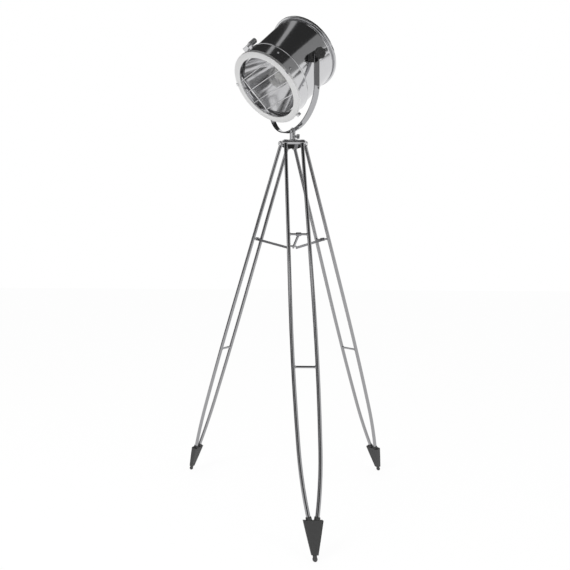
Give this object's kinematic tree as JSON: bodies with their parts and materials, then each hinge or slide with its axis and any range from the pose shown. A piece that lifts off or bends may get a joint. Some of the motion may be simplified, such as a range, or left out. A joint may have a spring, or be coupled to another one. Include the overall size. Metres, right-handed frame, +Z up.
{
  "type": "tripod spotlight floor lamp",
  "caption": "Drum-shaped spotlight with a wire grille, held in a curved yoke on a folding tripod of paired bent rods.",
  "frame": {"origin": "on the floor, under the post, midway between the feet", "axes": "+Z up, -Y towards the front leg, +X to the right of someone facing that leg; the head is stored panned and tilted as the picture shows it"},
  "size_m": [0.7148, 0.6277, 1.607],
  "materials": {
    "dark_chrome": "dark polished chrome",
    "arm_steel": "dark steel",
    "dark_cast": "satin dark grey",
    "tip_rubber": "worn black",
    "hub_metal": "polished, slightly dulled",
    "bright_fastener": "bright",
    "yoke_chrome": "polished",
    "head_chrome": "mirror polished",
    "satin_bezel": "satin",
    "wire_chrome": "bright",
    "reflector_mirror": "polished",
    "bulb_glass": "clear",
    "bulb_brass": "plated",
    "filament_metal": "fine wire on glass",
    "holder_ceramic": "glazed ceramic",
    "black_plastic": "moulded, satin"
  },
  "bodies": {
    "hub": {"hub_casting": "hub_metal", "leg_pivot_pins": "hub_metal", "leg_pin_nuts": "bright_fastener", "hub_cap": "hub_metal", "hub_cap_screws": "bright_fastener", "post": "hub_metal"},
    "spider_button": {"spider_button": "arm_steel"},
    "pan_lock_screw": {"pan_lock_screw": "bright_fastener"},
    "yoke": {"yoke": "yoke_chrome", "yoke_spigot": "hub_metal", "yoke_washer": "hub_metal", "yoke_bolt": "hub_metal"},
    "head": {"head_shell": "head_chrome", "front_collar": "head_chrome", "front_bezel": "satin_bezel", "grille_ring": "wire_chrome", "grille_wires": "wire_chrome", "reflector": "reflector_mirror", "bulb_glass": "bulb_glass", "bulb_cap": "bulb_brass", "bulb_filament": "filament_metal", "lamp_holder": "holder_ceramic", "holder_bracket": "head_chrome", "back_cover": "head_chrome", "cord_gland": "black_plastic", "catch_bracket": "head_chrome", "collar_screws": "bright_fastener", "bezel_clips": "bright_fastener", "cover_screws": "bright_fastener", "left_tilt_stud": "bright_fastener", "right_tilt_stud": "bright_fastener", "left_tilt_spacer": "black_plastic", "right_tilt_spacer": "black_plastic"},
    "left_tilt_knob": {"left_tilt_knob": "black_plastic"},
    "right_tilt_knob": {"right_tilt_knob": "black_plastic"},
    "catch_knob": {"catch_knob": "bright_fastener"},
    "front_thumb_screw": {"front_thumb_screw": "bright_fastener"},
    "front_leg": {"front_rod_left": "dark_chrome", "front_rod_right": "dark_chrome", "front_upper_rung": "dark_chrome", "front_lower_rung": "dark_chrome", "front_foot_shoe": "dark_cast", "front_foot_tip": "tip_rubber"},
    "front_spider_arm": {"front_spider_arm": "arm_steel"},
    "right_leg": {"right_rod_left": "dark_chrome", "right_rod_right": "dark_chrome", "right_upper_rung": "dark_chrome", "right_lower_rung": "dark_chrome", "right_foot_shoe": "dark_cast", "right_foot_tip": "tip_rubber"},
    "right_spider_arm": {"right_spider_arm": "arm_steel"},
    "left_leg": {"left_rod_left": "dark_chrome", "left_rod_right": "dark_chrome", "left_upper_rung": "dark_chrome", "left_lower_rung": "dark_chrome", "left_foot_shoe": "dark_cast", "left_foot_tip": "tip_rubber"},
    "left_spider_arm": {"left_spider_arm": "arm_steel"}
  },
  "joints": [
    {"name": "front_leg_fold", "type": "hinge", "parent": "hub", "child": "front_leg", "pos_m": [0, -0.031, 1.18], "axis": [1, 0, 0], "range_deg": [0, 14]},
    {"name": "right_leg_fold", "type": "hinge", "parent": "hub", "child": "right_leg", "pos_m": [0.02685, 0.0155, 1.18], "axis": [-0.5, 0.866, 0], "range_deg": [0, 14]},
    {"name": "left_leg_fold", "type": "hinge", "parent": "hub", "child": "left_leg", "pos_m": [-0.02685, 0.0155, 1.18], "axis": [-0.5, -0.866, 0], "range_deg": [0, 14]},
    {"name": "front_spider_arm_fold", "type": "hinge", "parent": "front_leg", "child": "front_spider_arm", "pos_m": [0, -0.13392, 0.857], "axis": [1, 0, 0], "range_deg": [-70.74, 0]},
    {"name": "right_spider_arm_fold", "type": "hinge", "parent": "right_leg", "child": "right_spider_arm", "pos_m": [0.11598, 0.06696, 0.857], "axis": [-0.5, 0.866, 0], "range_deg": [-70.74, 0]},
    {"name": "left_spider_arm_fold", "type": "hinge", "parent": "left_leg", "child": "left_spider_arm", "pos_m": [-0.11598, 0.06696, 0.857], "axis": [-0.5, -0.866, 0], "range_deg": [-70.74, 0]},
    {"name": "spider_button_slide", "type": "slide", "parent": "hub", "child": "spider_button", "axis": [0, 0, 1], "range_m": [-0.0961, 0]},
    {"name": "pan_lock_turn", "type": "hinge", "parent": "hub", "child": "pan_lock_screw", "pos_m": [0, 0, 1.208], "axis": [1, 0, 0], "continuous": true},
    {"name": "head_pan", "type": "hinge", "parent": "hub", "child": "yoke", "pos_m": [0, 0, 1.2268], "axis": [0, 0, 1], "continuous": true},
    {"name": "head_tilt", "type": "hinge", "parent": "yoke", "child": "head", "pos_m": [0, 0, 1.4378], "axis": [0.4274, -0.9041, 0], "range_deg": [-135.6, 24.4]},
    {"name": "right_knob_turn", "type": "hinge", "parent": "head", "child": "right_tilt_knob", "pos_m": [0, 0, 1.4378], "axis": [0.4274, -0.9041, 0], "continuous": true},
    {"name": "left_knob_turn", "type": "hinge", "parent": "head", "child": "left_tilt_knob", "pos_m": [0, 0, 1.4378], "axis": [-0.4274, 0.9041, 0], "continuous": true},
    {"name": "catch_knob_turn", "type": "hinge", "parent": "head", "child": "catch_knob", "pos_m": [-0.1546, -0.07308, 1.49371], "axis": [-0.6326, -0.299, -0.7145], "continuous": true},
    {"name": "front_thumb_screw_turn", "type": "hinge", "parent": "head", "child": "front_thumb_screw", "pos_m": [0.00962, -0.03037, 1.28103], "axis": [0.7301, 0.0775, -0.6789], "continuous": true}
  ],
  "couplings": [
    {"joint": "right_leg_fold", "follows": "front_leg_fold", "ratio": 1},
    {"joint": "left_leg_fold", "follows": "front_leg_fold", "ratio": 1},
    {"joint": "front_spider_arm_fold", "follows": "front_leg_fold", "ratio": -5.0495},
    {"joint": "right_spider_arm_fold", "follows": "front_leg_fold", "ratio": -5.0495},
    {"joint": "left_spider_arm_fold", "follows": "front_leg_fold", "ratio": -5.0495},
    {"joint": "spider_button_slide", "follows": "front_leg_fold", "m_per_rad": -0.39288}
  ]
}
